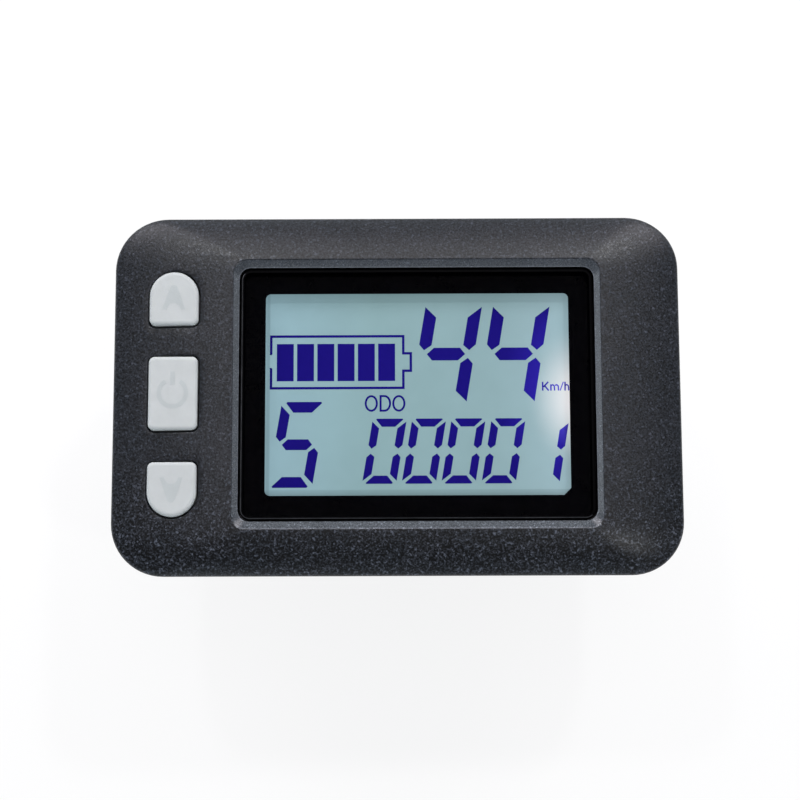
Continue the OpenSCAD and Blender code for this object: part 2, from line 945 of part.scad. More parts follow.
// Flexible cone that joins a key's lower edge to the mat
module skirt(place) {
    color("#bfc4c6") at_key(place) difference() {
        hull() {
            translate([0, 0, mat_top])
                linear_extrude(layer_t) key_outline(place, web_w, $fn = blend_fn);
            translate([0, 0, key_bottom - layer_t])
                linear_extrude(layer_t) key_outline(place, $fn = blend_fn);
        }
        hull() {
            translate([0, 0, mat_top - layer_t])
                linear_extrude(layer_t) key_outline(place, web_w - web_t, $fn = blend_fn);
            translate([0, 0, key_bottom])
                linear_extrude(layer_t) key_outline(place, -web_t, $fn = blend_fn);
        }
    }
}

// Tactile switches, one under each key

module switch_base(place) {
    z = board_top;
    color("#17181a") at_key(place) difference() {
        plate(switch_w, switch_w, switch_r, switch_base_t, z);
        translate([0, 0, z + switch_base_t - well_t]) cylinder(r = well_r, h = well_t + cut);
    }
    color("#c7c9cc") at_key(place)
        for (x = [-1, 1], y = [-1, 1])
            translate([
                x * (switch_w + terminal_l) / 2 - terminal_l / 2 - x * terminal_t,
                y * terminal_y - terminal_w / 2, z
            ])
                cube([terminal_l, terminal_w, terminal_t]);
}

module switch_cover(place) {
    color("#b8bbc0") at_key(place)
        translate([0, 0, board_top + switch_base_t])
            linear_extrude(switch_cover_t) difference() {
                round_rect(switch_w, switch_w, switch_r);
                circle(plunger_r + plunger_gap);
            }
}

module plunger(place) {
    seat_z = board_top + switch_base_t - slip_gap;
    color("#1d1e21") at_key(place) {
        translate([0, 0, seat_z - plunger_flange_t])
            cylinder(r = plunger_flange_r, h = plunger_flange_t);
        translate([0, 0, seat_z - plunger_flange_t])
            cylinder(r = plunger_r, h = plunger_top - seat_z + plunger_flange_t);
    }
}

// Metal dome that clicks through and returns the plunger
module snap_dome(place) {
    low = board_top + switch_base_t - well_t;
    high = board_top + switch_base_t - slip_gap - plunger_flange_t;
    color("#d0d2d6") at_key(place) translate([0, 0, low]) rotate_extrude() polygon([
        [0, high - low - dome_t], [dome_top_r, high - low - dome_t],
        [dome_r - dome_t, 0], [dome_r, 0],
        [dome_top_r + dome_t, high - low], [0, high - low]
    ]);
}

// Cable inlet

module cable_grommet() {
    low = back_z - flange_out_t - nose_l;
    flange_r = grommet_r + grommet_lip;
    color("#232326") translate([inlet_x, inlet_y, 0]) difference() {
        union() {
            translate([0, 0, low])
                cylinder(r = grommet_r - slip_gap, h = floor_z - low + flange_in_t);
            translate([0, 0, floor_z]) cylinder(r = flange_r, h = flange_in_t);
            translate([0, 0, back_z - flange_out_t])
                cylinder(r = flange_r, h = flange_out_t);
            translate([0, 0, low])
                cylinder(r1 = cable_r + nose_wall, r2 = flange_r, h = nose_l);
        }
        translate([0, 0, low - cut]) cylinder(r = cable_r, h = floor_z - low + flange_in_t + 2 * cut);
    }
}

// Clamp

// A cylinder along the bar, centred on the origin
module along_bar(r, l) {
    rotate([0, 90, 0]) cylinder(r = r, h = l, center = true);
}

// The same with both ends bevelled
module bevelled_along_bar(r, l, bevel) {
    along_bar(r, l - 2 * bevel);
    for (turn = [90, -90])
        rotate([0, turn, 0])
            translate([0, 0, l / 2 - bevel])
                cylinder(r1 = r, r2 = r - bevel, h = bevel);
}

// Half of the clamp: its ring, its two lugs and the holes for the bolts
module clamp_half() {
    difference() {
        union() {
            intersection() {
                bevelled_along_bar(ring_out_r, clamp_w, ring_bevel);
                translate([-clamp_w / 2, -ring_out_r, lug_split / 2])
                    cube([clamp_w, 2 * ring_out_r, ring_out_r]);
            }
            plate(clamp_w, 2 * lug_y, lug_r, lug_t, lug_split / 2);
        }
        along_bar(ring_r, clamp_w + 2 * cut);
        at_clamp_bolts() cylinder(r = bolt_r + slip_gap, h = ring_out_r);
    }
}

module clamp_saddle() {
    color("#26262a") difference() {
        union() {
            clamp_half();
            difference() {
                translate([-clamp_w / 2, -neck_h / 2, pad_z - ring_t])
                    cube([clamp_w, neck_h, pad_t + ring_t]);
                along_bar(ring_r, clamp_w + 2 * cut);
            }
            plate(pad_w, pad_h, pad_r, pad_t, pad_z);
        }
        at_pad_screws() {
            translate([0, 0, pad_z - cut]) cylinder(r = pad_screw_r + slip_gap, h = pad_t + 2 * cut);
            translate([0, 0, pad_z - cut]) cylinder(r = pad_head_r + fit_gap, h = pad_head_t + cut);
        }
        at_clamp_bolts()
            translate([0, 0, lug_split / 2 + lug_t - nut_t])
                rotate(30)
                    cylinder(r = nut_r + fit_gap, h = nut_t + cut, $fn = 6);
    }
}

module clamp_cap() {
    color("#26262a") mirror([0, 0, 1]) clamp_half();
}

// Rubber half ring with a lip at each end that hooks round the clamp
module liner() {
    difference() {
        union() {
            along_bar(ring_r - slip_gap, clamp_w + 2 * liner_lip_t);
            for (x = [-1, 1])
                translate([x * (clamp_w + liner_lip_t + slip_gap) / 2, 0, 0])
                    along_bar(ring_r + liner_lip_h, liner_lip_t - slip_gap);
        }
        along_bar(bar_r, clamp_w + 2 * liner_lip_t + 2 * cut);
        translate([-clamp_w, -body_h / 2, liner_split / 2 - body_h])
            cube([2 * clamp_w, body_h, body_h]);
    }
}

module saddle_liner() {
    color("#1a1a1c") liner();
}

module cap_liner() {
    color("#1a1a1c") mirror([0, 0, 1]) liner();
}

module clamp_bolts() {
    color("#9a9da2")
        at_clamp_bolts()
            translate([0, 0, -lug_split / 2 - lug_t])
                screw(bolt_r, bolt_l, bolt_head_r, bolt_head_t);
}

module clamp_nuts() {
    color("#a5a8ad")
        at_clamp_bolts()
            translate([0, 0, lug_split / 2 + lug_t - nut_t])
                difference() {
                    rotate(30) cylinder(r = nut_r, h = nut_t, $fn = 6);
                    translate([0, 0, -cut]) cylinder(r = bolt_r + slip_gap, h = nut_t + 2 * cut);
                }
}

module saddle_screws() {
    color("#9a9da2")
        at_pad_screws()
            translate([0, 0, pad_z + pad_head_t])
                screw(pad_screw_r, pad_screw_l, pad_head_r, pad_head_t);
}

module threaded_inserts() {
    color("#b08d4a")
        at_pad_screws()
            translate([0, 0, back_z + pad_sink])
                difference() {
                    cylinder(r = insert_r, h = insert_l);
                    translate([0, 0, -cut])
                        cylinder(r = pad_screw_r + slip_gap, h = insert_l + 2 * cut);
                }
}

front_housing();
rear_housing();
housing_seal();
housing_screws();
window_lens();
window_mask();
window_tape();
lcd_cushion();
lcd_front_polarizer();
lcd_front_glass();
lcd_cell_seal();
lcd_rear_glass();
lcd_rear_polarizer();
light_guide();
guide_reflector();
backlight_leds();
lcd_frame();
zebra_strip();
main_board();
board_screws();
mcu_chip();
driver_chip();
memory_chip();
voltage_regulator();
power_inductor();
filter_capacitor();
chip_resistors();
wire_header();
keypad_mat();
keypad_frame();
key_cap(1);  // key_up
key_cap(0);  // key_power
key_cap(-1);  // key_down
skirt(1);  // skirt_up
skirt(0);  // skirt_power
skirt(-1);  // skirt_down
switch_base(1);  // switch_base_up
switch_base(0);  // switch_base_power
switch_base(-1);  // switch_base_down
switch_cover(1);  // switch_cover_up
switch_cover(0);  // switch_cover_power
switch_cover(-1);  // switch_cover_down
plunger(1);  // plunger_up
plunger(0);  // plunger_power
plunger(-1);  // plunger_down
snap_dome(1);  // snap_dome_up
snap_dome(0);  // snap_dome_power
snap_dome(-1);  // snap_dome_down
cable_grommet();
clamp_saddle();
clamp_cap();
saddle_liner();
cap_liner();
clamp_bolts();
clamp_nuts();
saddle_screws();
threaded_inserts();
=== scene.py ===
"""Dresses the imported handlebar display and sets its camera, lights and floor.

Lengths are in millimetres until they go into a mesh or a node. x runs along the bar, y to
the top of the screen and z out of the face.
"""
import math

import bpy
from mathutils import Matrix, Vector

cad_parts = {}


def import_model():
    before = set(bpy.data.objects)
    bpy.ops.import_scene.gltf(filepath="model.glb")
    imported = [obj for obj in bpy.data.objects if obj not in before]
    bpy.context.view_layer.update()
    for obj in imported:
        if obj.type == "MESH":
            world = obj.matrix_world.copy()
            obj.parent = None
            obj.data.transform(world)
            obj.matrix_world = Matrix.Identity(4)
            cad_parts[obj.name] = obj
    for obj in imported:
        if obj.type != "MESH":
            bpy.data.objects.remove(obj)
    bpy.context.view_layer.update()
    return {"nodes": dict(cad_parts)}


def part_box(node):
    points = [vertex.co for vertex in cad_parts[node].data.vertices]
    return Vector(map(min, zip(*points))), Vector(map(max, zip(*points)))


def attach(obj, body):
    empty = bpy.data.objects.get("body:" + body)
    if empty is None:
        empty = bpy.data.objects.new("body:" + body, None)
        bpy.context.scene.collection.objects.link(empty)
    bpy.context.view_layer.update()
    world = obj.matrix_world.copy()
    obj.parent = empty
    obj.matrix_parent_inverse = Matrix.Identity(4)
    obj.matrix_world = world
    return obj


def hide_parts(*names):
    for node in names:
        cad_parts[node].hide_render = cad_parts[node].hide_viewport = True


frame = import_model()

MM = 0.001


def box_mm(node):
    low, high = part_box(node)
    return Vector(low) / MM, Vector(high) / MM


# Sizes, from the frame where it has them

front_low, front_high = box_mm("front_housing")
lens_low, lens_high = box_mm("window_lens")
mask_low, mask_high = box_mm("window_mask")

# Housing: outline, parting plane, the face from its rim up to the window's edge, and walls
BODY_W = front_high.x - front_low.x
BODY_H = front_high.y - front_low.y
BODY_R = 8.0
PARTING_Z = front_low.z
EDGE_Z = front_high.z
FACE_DROP = 2.4
RIM_Z = EDGE_Z - FACE_DROP
WALL = 2.8
LEAN = 0.6

# Window: lens, the chamfer and flat land round it, and the opening in the roof under it
LENS_X = (lens_low.x + lens_high.x) / 2
LENS_W = lens_high.x - lens_low.x
LENS_H = lens_high.y - lens_low.y
LENS_R = 1.6
LENS_TOP = lens_high.z
LENS_GAP = 0.15
CHAMFER = 1.2
LAND = 0.15
TAPE_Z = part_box("window_tape")[0].z / MM
CEILING_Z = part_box("lcd_cushion")[1].z / MM
SIGHT_W = 47.2
SIGHT_H = 32.1
SIGHT_R = 1.2

# Clear area in the mask, with one corner cut off
VIEW_W = 46.1
VIEW_H = 30.9
VIEW_R = 0.8
VIEW_CUT = 1.05
VIEW_X = LENS_X + 0.05
VIEW_Y = 0.12

# Display film: its top, and where the pale strips along its left and lower edges begin
FILM_TOP = box_mm("lcd_front_polarizer")[1].z
FILM_LEFT = LENS_X - 23.1
FILM_LOW = -15.2

# Keys: which way each arrow points, corner radius and the gap round a key
KEYS = {"up": 1, "power": 0, "down": -1}
KEY_R = 0.9
KEY_GAP = 0.25

# Underside of the clamp, which the floor lies below
CLAMP_LOW = box_mm("clamp_cap")[0].z

# Edges sharper than this many degrees stay sharp
SHARP = 38.0


# Meshes

def new_object(name, verts, faces, sharp=SHARP):
    """A mesh in metres from points in millimetres, smooth but for edges past an angle."""
    mesh = bpy.data.meshes.new(name)
    mesh.from_pydata([Vector(v) * MM for v in verts], [], faces)
    mesh.update()
    finish_mesh(mesh, sharp)
    obj = bpy.data.objects.new(name, mesh)
    bpy.context.scene.collection.objects.link(obj)
    return obj


def finish_mesh(mesh, sharp):
    """Smooth shading, but for edges past an angle."""
    for polygon in mesh.polygons:
        polygon.use_smooth = True
    mesh.set_sharp_from_angle(angle=math.radians(sharp))


def loft(name, rings, joined=False, sharp=SHARP):
    """Skins rings of equal length. joined closes the last ring on the first."""
    count = len(rings[0])
    verts = [point for ring in rings for point in ring]
    faces = []
    spans = len(rings) if joined else len(rings) - 1
    for r in range(spans):
        a = r * count
        b = ((r + 1) % len(rings)) * count
        for i in range(count):
            j = (i + 1) % count
            faces.append((a + i, a + j, b + j, b + i))
    if not joined:
        faces.append(tuple(reversed(range(count))))
        faces.append(tuple(range((len(rings) - 1) * count, len(rings) * count)))
    return new_object(name, verts, faces, sharp)


def rounded(w, h, r, x=0.0, y=0.0, arc=14, across=28, up=18, cut=0.0):
    """Points round a rounded rectangle. cut takes its lower right corner off instead.

    arc, across and up are the steps on each corner, level side and upright side.
    """
    corners = ((1, 1), (-1, 1), (-1, -1), (1, -1))
    sides = (across, up, across, up)
    arcs = []
    for index, (sx, sy) in enumerate(corners):
        centre = Vector((x + sx * (w / 2 - r), y + sy * (h / 2 - r)))
        turn = [math.radians(90 * (index + k / arc)) for k in range(arc + 1)]
        arcs.append([centre + r * Vector((math.cos(a), math.sin(a))) for a in turn])
    if cut:
        start = Vector((x + w / 2 - cut, y - h / 2))
        end = Vector((x + w / 2, y - h / 2 + cut))
        arcs[3] = [start.lerp(end, k / arc) for k in range(arc + 1)]
    points = []
    for index, steps in enumerate(sides):
        points += arcs[index]
        start = arcs[index][-1]
        end = arcs[(index + 1) % 4][0]
        points += [start.lerp(end, k / steps) for k in range(1, steps)]
    return points


def at_height(points, z):
    return [(p[0], p[1], z) for p in points]


def cut(obj, cutter):
    """Takes the cutter's shape out of a piece, for good."""
    modifier = obj.modifiers.new("cut", "BOOLEAN")
    modifier.operation = "DIFFERENCE"
    modifier.solver = "EXACT"
    modifier.object = cutter
    graph = bpy.context.evaluated_depsgraph_get()
    mesh = bpy.data.meshes.new_from_object(obj.evaluated_get(graph))
    obj.modifiers.clear()
    old = obj.data
    obj.data = mesh
    mesh.name = obj.name
    bpy.data.meshes.remove(old)
    finish_mesh(mesh, SHARP)
    bpy.data.objects.remove(cutter)


# Materials

def new_material(name):
    material = bpy.data.materials.new(name)
    material.use_nodes = True
    tree = material.node_tree
    return material, tree, tree.nodes["Principled BSDF"]


def add_node(tree, kind, **inputs):
    node = tree.nodes.new(kind)
    for key, value in inputs.items():
        name = key.replace("_", " ")
        node.inputs[name].default_value = value
    return node


def object_coordinates(tree):
    return tree.nodes.new("ShaderNodeTexCoord").outputs["Object"]


def separated(tree, vector):
    node = tree.nodes.new("ShaderNodeSeparateXYZ")
    tree.links.new(vector, node.inputs["Vector"])
    return node.outputs


def noise(tree, scale, detail=3.0, rough=0.6):
    node = add_node(tree, "ShaderNodeTexNoise", Scale=scale, Detail=detail, Roughness=rough)
    tree.links.new(object_coordinates(tree), node.inputs["Vector"])
    return node.outputs["Fac"]


def ramp(tree, source, stops):
    node = tree.nodes.new("ShaderNodeValToRGB")
    elements = node.color_ramp.elements
    while len(elements) < len(stops):
        elements.new(0.5)
    for element, (position, value) in zip(elements, stops):
        element.position = position
        element.color = value if len(value) == 4 else (*value, 1.0)
    tree.links.new(source, node.inputs["Fac"])
    return node.outputs["Color"]


def mapped(tree, source, low, high, new_low, new_high, kind="LINEAR"):
    """Maps one range of values onto another and holds its ends."""
    node = tree.nodes.new("ShaderNodeMapRange")
    node.interpolation_type = kind
    for name, value in zip(("From Min", "From Max", "To Min", "To Max"),
                           (low, high, new_low, new_high)):
        node.inputs[name].default_value = value
    tree.links.new(source, node.inputs["Value"])
    return node.outputs["Result"]


def arithmetic(tree, operation, a, b):
    """A maths node on two outputs, or on an output and a number."""
    node = tree.nodes.new("ShaderNodeMath")
    node.operation = operation
    tree.links.new(a, node.inputs[0])
    if isinstance(b, float):
        node.inputs[1].default_value = b
    else:
        tree.links.new(b, node.inputs[1])
    return node.outputs["Value"]


def vector_maths(tree, operation, vector, constant=None, scale=None):
    """A vector node on an output, with a constant vector or with a scale, output or number."""
    node = tree.nodes.new("ShaderNodeVectorMath")
    node.operation = operation
    tree.links.new(vector, node.inputs[0])
    if constant is not None:
        node.inputs[1].default_value = constant
    if isinstance(scale, float):
        node.inputs["Scale"].default_value = scale
    elif scale is not None:
        tree.links.new(scale, node.inputs["Scale"])
    return node.outputs["Value" if operation == "LENGTH" else "Vector"]


def mixed(tree, factor, first, second):
    """Mixes two colours, each an output or four numbers."""
    node = tree.nodes.new("ShaderNodeMix")
    node.data_type = "RGBA"
    tree.links.new(factor, node.inputs["Factor"])
    # Inputs 6 and 7 are the node's two colours, and output 2 is their mix
    for socket, colour in ((node.inputs[6], first), (node.inputs[7], second)):
        if isinstance(colour, tuple):
            socket.default_value = colour
        else:
            tree.links.new(colour, socket)
    return node.outputs[2]


def bump(tree, sources, shader):
    """Chains bumps, each a height output, its depth in millimetres and its strength."""
    normal = None
    for source, depth, strength in sources:
        node = add_node(tree, "ShaderNodeBump", Strength=strength, Distance=depth * MM)
        tree.links.new(source, node.inputs["Height"])
        if normal is not None:
            tree.links.new(normal, node.inputs["Normal"])
        normal = node.outputs["Normal"]
    tree.links.new(normal, shader.inputs["Normal"])


# Painted light: the grain and its painted glints are drawn stronger towards the face's lower
# edge, where light catches them, and fainter above it: heights and strengths
LIT_GRAIN_Y = (-24.0, -10.0)
LIT_GRAIN_STRENGTH = (1.2, 0.6)

# At a contrast of 1: what a painted glint adds to the colour, and what is taken off all over in
# return
GLINT_PAINT = 5.0
GLINT_PAINT_RETURN = 0.45

# The grain never darkens the plastic below this share of its colour
DARKEST = 0.1


def moulded(name, dark, light, roughness, grain_mm, depth_mm, contrast=0.8, specular=0.3):
    """Spark-eroded plastic: cloudy colour under a fine grain, with small glints painted bright
    into the colour, and grain and glints painted stronger towards the lower edge.
    """
    material, tree, shader = new_material(name)
    cloud = noise(tree, 1 / (5 * MM), 3.0)
    grain = noise(tree, 1 / (grain_mm * MM), 1.0, 0.5)
    glint_spots = noise(tree, 1 / (1.5 * grain_mm * MM), 2.0, 0.6)
    base = ramp(tree, cloud, [(0.35, dark), (0.65, light)])
    shade = mapped(tree, grain, 0.32, 0.68, -contrast, contrast)
    # Painted glints: bright spots in the colour where the grain would catch the light
    painted_glint = mapped(tree, glint_spots, 0.56, 0.74, 0.0, GLINT_PAINT * contrast)
    both = arithmetic(tree, "ADD", shade, painted_glint)
    y = separated(tree, object_coordinates(tree))["Y"]
    # Painted light: grain and glints stronger towards the lower edge
    lit_grain = mapped(tree, y, LIT_GRAIN_Y[0] * MM, LIT_GRAIN_Y[1] * MM, *LIT_GRAIN_STRENGTH)
    level = arithmetic(tree, "ADD", both, -GLINT_PAINT_RETURN * contrast)
    scale = arithmetic(tree, "ADD", arithmetic(tree, "MULTIPLY", level, lit_grain), 1.0)
    scale = arithmetic(tree, "MAXIMUM", scale, DARKEST)
    tinted = vector_maths(tree, "SCALE", base, scale=scale)
    tree.links.new(tinted, shader.inputs["Base Color"])
    rough = mapped(tree, glint_spots, 0.3, 0.7, roughness + 0.06, roughness - 0.1)
    tree.links.new(rough, shader.inputs["Roughness"])
    shader.inputs["Specular IOR Level"].default_value = specular
    bump(tree, [(grain, depth_mm, 1.0), (glint_spots, 1.5 * depth_mm, 0.8)], shader)
    return material


def soft(name, dark, light, roughness, subsurface=0.0, specular=0.5):
    """Moulded silicone or rubber with a faint cloudiness."""
    material, tree, shader = new_material(name)
    cloud = noise(tree, 1 / (2.5 * MM), 3.0)
    grain = noise(tree, 1 / (0.12 * MM), 2.0)
    tree.links.new(ramp(tree, cloud, [(0.3, dark), (0.7, light)]), shader.inputs["Base Color"])
    shader.inputs["Roughness"].default_value = roughness
    shader.inputs["Specular IOR Level"].default_value = specular
    shader.inputs["Subsurface Weight"].default_value = subsurface
    shader.inputs["Subsurface Radius"].default_value = (1.0, 1.0, 0.8)
    shader.inputs["Subsurface Scale"].default_value = 0.6 * MM
    bump(tree, [(grain, 0.01, 0.4)], shader)
    return material


def print_on_glass(name, dark, light):
    """Smooth ink behind the lens, with the lens's faint sheen."""
    material, tree, shader = new_material(name)
    cloud = noise(tree, 1 / (3 * MM), 3.0)
    tree.links.new(ramp(tree, cloud, [(0.3, dark), (0.7, light)]), shader.inputs["Base Color"])
    rough = mapped(tree, cloud, 0.3, 0.7, 0.05, 0.09)
    tree.links.new(rough, shader.inputs["Roughness"])
    shader.inputs["Specular IOR Level"].default_value = 0.0075
    return material


def metal(name, dark, light, roughness):
    """Plated steel with fine turning marks."""
    material, tree, shader = new_material(name)
    cloud = noise(tree, 1 / (0.8 * MM), 4.0)
    tree.links.new(ramp(tree, cloud, [(0.35, dark), (0.65, light)]), shader.inputs["Base Color"])
    shader.inputs["Metallic"].default_value = 1.0
    rough = mapped(tree, cloud, 0.3, 0.7, roughness - 0.05, roughness + 0.1)
    tree.links.new(rough, shader.inputs["Roughness"])
    bump(tree, [(cloud, 0.01, 0.3)], shader)
    return material


def clear(name):
    """Clear sheet that lets light straight through. Its sheen is on the ink behind it."""
    material, tree, shader = new_material(name)
    tree.nodes.remove(shader)
    through = tree.nodes.new("ShaderNodeBsdfTransparent")
    tree.links.new(through.outputs["BSDF"], tree.nodes["Material Output"].inputs["Surface"])
    return material


def srgb(*levels):
    """Linear colour from the 0 to 255 levels of a display colour."""
    out = []
    for level in levels:
        c = level / 255
        out.append(c / 12.92 if c <= 0.04045 else ((c + 0.055) / 1.055) ** 2.4)
    return tuple(out)


def grey(level):
    return (level, level, level)


# The backlight's glow: its centre, and how much faster it fades across than up
GLOW_X = 27.0
GLOW_Y = -0.3
GLOW_SQUEEZE = 1.5


def glow_distance(tree):
    """Millimetres to the backlight at the picture's right edge, squeezed across."""
    centre = (GLOW_X * MM, GLOW_Y * MM, FILM_TOP * MM)
    away = vector_maths(tree, "SUBTRACT", object_coordinates(tree), centre)
    squeezed = vector_maths(tree, "MULTIPLY", away, (GLOW_SQUEEZE / MM, 1.0 / MM, 0.0))
    return vector_maths(tree, "LENGTH", squeezed)


def display_film(name):
    """The lit picture area: grey-green film with the backlight's glow at its right edge."""
    material, tree, shader = new_material(name)
    place = separated(tree, object_coordinates(tree))
    across = mapped(tree, place["X"], -20 * MM, GLOW_X * MM, 0.0, 1.0)
    base = ramp(tree, across, [
        (0.0, srgb(143, 177, 187)), (0.35, srgb(136, 168, 172)),
        (0.75, srgb(139, 169, 174)), (1.0, srgb(153, 182, 190)),
    ])
    cloud = mapped(tree, noise(tree, 1 / (7 * MM), 2.0), 0.3, 0.7, 0.96, 1.03)
    from_left = mapped(tree, place["X"], FILM_LEFT * MM, (FILM_LEFT + 1) * MM, 0.0, 1.0)
    from_low = mapped(tree, place["Y"], FILM_LOW * MM, (FILM_LOW + 1) * MM, 0.0, 1.0)
    left_strip = ramp(tree, from_left, [
        (0.1, grey(0.95)), (0.3, grey(0.84)), (0.6, grey(0.84)), (0.7, grey(1.0)),
    ])
    low_strip = ramp(tree, from_low, [
        (0.04, grey(0.95)), (0.16, grey(0.7)), (0.9, grey(0.86)), (0.98, grey(1.0)),
    ])
    strips = arithmetic(tree, "MULTIPLY", left_strip, low_strip)
    shade = arithmetic(tree, "MULTIPLY", cloud, strips)
    film = vector_maths(tree, "SCALE", base, scale=shade)
    dimmed = vector_maths(tree, "SCALE", film, scale=0.45)
    tree.links.new(dimmed, shader.inputs["Base Color"])
    glow = mapped(tree, glow_distance(tree), 0.5, 11.5, 1.0, 0.0, "SMOOTHSTEP")
    lit = mixed(tree, glow, film, (*srgb(236, 230, 230), 1.0))
    tree.links.new(lit, shader.inputs["Emission Color"])
    strength = mapped(tree, glow, 0.0, 1.0, 0.56, 0.8)
    tree.links.new(strength, shader.inputs["Emission Strength"])
    shader.inputs["Roughness"].default_value = 0.6
    shader.inputs["Specular IOR Level"].default_value = 0.2
    return material


def liquid_crystal(name):
    """Dark blue-violet segments, painted lighter and bluer beside the backlight's glow."""
    material, tree, shader = new_material(name)
    near = mapped(tree, glow_distance(tree), 3.0, 17.0, 0.0, 1.0)
    # Painted backlight: the colour lightens towards the glow
    base = ramp(tree, near, [
        (0.0, srgb(88, 80, 215)), (0.35, srgb(44, 34, 156)), (1.0, srgb(27, 19, 115)),
    ])
    tree.links.new(base, shader.inputs["Base Color"])
    shader.inputs["Roughness"].default_value = 0.6
    shader.inputs["Specular IOR Level"].default_value = 0.0
    return material


# Each moulded plastic: colours, roughness, grain and its depth in millimetres, contrast
# and, where it isn't 0.3, specular level
FRONT_PLASTIC = moulded(
    "front_plastic", srgb(34, 37, 42), srgb(39, 41, 46), 0.37, 0.3, 0.015, 0.95, 0.33)
# The next two are lighter copies of the front plastic for the chamfer round the window: the
# first holds a painted sheen, the second a painted highlight for its edges
CHAMFER_SHEEN = moulded(
    "chamfer_painted_sheen", srgb(62, 66, 71), srgb(70, 74, 80), 0.26, 0.24, 0.012, 0.4, 0.5)
CHAMFER_HIGHLIGHT = moulded(
    "chamfer_painted_highlight", srgb(84, 88, 94), srgb(96, 100, 107), 0.22, 0.24, 0.01, 0.3, 0.5)
BACK_PLASTIC = moulded(
    "back_plastic", srgb(40, 40, 42), srgb(45, 45, 47), 0.4, 0.25, 0.03, 0.7)
CLAMP_PLASTIC = moulded(
    "clamp_plastic", srgb(36, 36, 38), srgb(41, 41, 43), 0.38, 0.3, 0.03, 0.7)
KEY_SILICONE = soft("key_silicone", srgb(188, 192, 191), srgb(194, 198, 197), 0.6, 0.15, 0.3)
ICON_SILICONE = soft("icon_silicone", srgb(183, 189, 188), srgb(188, 194, 193), 0.6, 0.1, 0.3)
RUBBER = soft("black_rubber", srgb(24, 24, 26), srgb(34, 34, 36), 0.7)
FOAM = soft("foam", srgb(14, 14, 15), srgb(20, 20, 22), 0.9)
INK = print_on_glass("mask_ink", srgb(0, 0, 1), srgb(2, 2, 4))
STEEL = metal("steel", (0.42, 0.43, 0.45), (0.6, 0.61, 0.63), 0.3)
BRASS = metal("brass_metal", (0.6, 0.42, 0.16), (0.75, 0.56, 0.25), 0.35)
LENS_CLEAR = clear("lens_clear")
# Grey for the lens's rounded edge at the left and below: a painted highlight
LENS_EDGE_HIGHLIGHT = soft("lens_edge_painted_highlight", srgb(40, 42, 45), srgb(66, 68, 72), 0.4)
# Near black for the pocket walls and the lens's sides: painted shade in the narrow gap round the
# lens
GAP_SHADE = soft("painted_gap_shade", srgb(2, 2, 3), srgb(4, 4, 5), 0.8, specular=0.05)
FILM = display_film("display_film")
CRYSTAL = liquid_crystal("liquid_crystal")
BOARD_GREEN = soft("board_green", srgb(20, 72, 40), srgb(32, 92, 54), 0.4)
WHITE_PLASTIC = soft("white_plastic", srgb(225, 225, 220), srgb(238, 238, 234), 0.45)
TAPE = soft("tape_film", srgb(14, 14, 15), srgb(20, 20, 21), 0.8, specular=0.1)


def dress(obj, body, material, slot, *nodes):
    """Puts a new piece on its body, in its material if given, in place of CAD nodes."""
    if material:
        obj.data.materials.clear()
        obj.data.materials.append(material)
    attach(obj, body)
    if nodes:
        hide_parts(*nodes)


# Front shell

def key_box(key):
    """Centre, width and height of a key's cap."""
    low, high = box_mm("key_" + key)
    return (low.x + high.x) / 2, (low.y + high.y) / 2, high.x - low.x, high.y - low.y


def key_points(key, grow=0.0):
    """Outline of a key, grown all round."""
    x, y, w, h = key_box(key)
    place = KEYS[key]
    if place == 0:
        points = rounded(w + 2 * grow, h + 2 * grow, KEY_R + grow, arc=8, across=10, up=12)
    else:
        points = arrow_points(w, h, grow)
    turn = -1 if place < 0 else 1
    return [Vector((x + turn * p[0], y + turn * p[1])) for p in points]


def arrow_points(w, h, grow, arc=8, big_arc=40, side=6, across=8):
    """Round at its far end, with small corners towards the power key."""
    half = w / 2 + grow
    low = -h / 2 - grow
    r = KEY_R + grow
    middle = h / 2 - w / 2
    points = []
    for k in range(arc + 1):
        a = math.radians(-90 + 90 * k / arc)
        points.append((half - r + r * math.cos(a), low + r + r * math.sin(a)))
    rise = middle - low - r
    points += [(half, low + r + rise * k / side) for k in range(1, side)]
    for k in range(big_arc + 1):
        a = math.radians(180 * k / big_arc)
        points.append((half * math.cos(a), middle + half * math.sin(a)))
    points += [(-half, middle - rise * k / side) for k in range(1, side)]
    for k in range(arc + 1):
        a = math.radians(180 + 90 * k / arc)
        points.append((r - half + r * math.cos(a), low + r + r * math.sin(a)))
    points += [(r - half + 2 * (half - r) * k / across, low) for k in range(1, across)]
    return points


# The chamfer is narrower at the window's sides, and tighter round its corners
SIDE_SHARE = 0.8
CORNER_SHARE = 0.25
EDGE_GROW = CHAMFER + LAND
EDGE_SIZE = (
    LENS_W + 2 * (LENS_GAP + SIDE_SHARE * EDGE_GROW),
    LENS_H + 2 * (LENS_GAP + EDGE_GROW),
)
EDGE_R = LENS_R + LENS_GAP + CORNER_SHARE * EDGE_GROW

# The slopes: crown for each millimetre of length, roll towards the rim and the rim's fillet
CROWN = 0.028
CROWN_SPAN = 8.0
ROLL = 0.5
ROLL_LENGTH = 2.2
RIM_FILLET = 0.35


def face_height(p, q, t):
    """Height of the slope a share t of the way from the rim p to the window at q.

    The face is crowned all along, and rolls over more near the rim.
    """
    length = (q - p).length
    roll = ROLL * (1 - math.exp(-t * length / ROLL_LENGTH))
    crown = CROWN * min(length, CROWN_SPAN) * math.sin(math.pi * t)
    return RIM_Z + roll + (FACE_DROP - ROLL) * t + crown


def body_outline(inset):
    return rounded(BODY_W - 2 * inset, BODY_H - 2 * inset, BODY_R - inset)


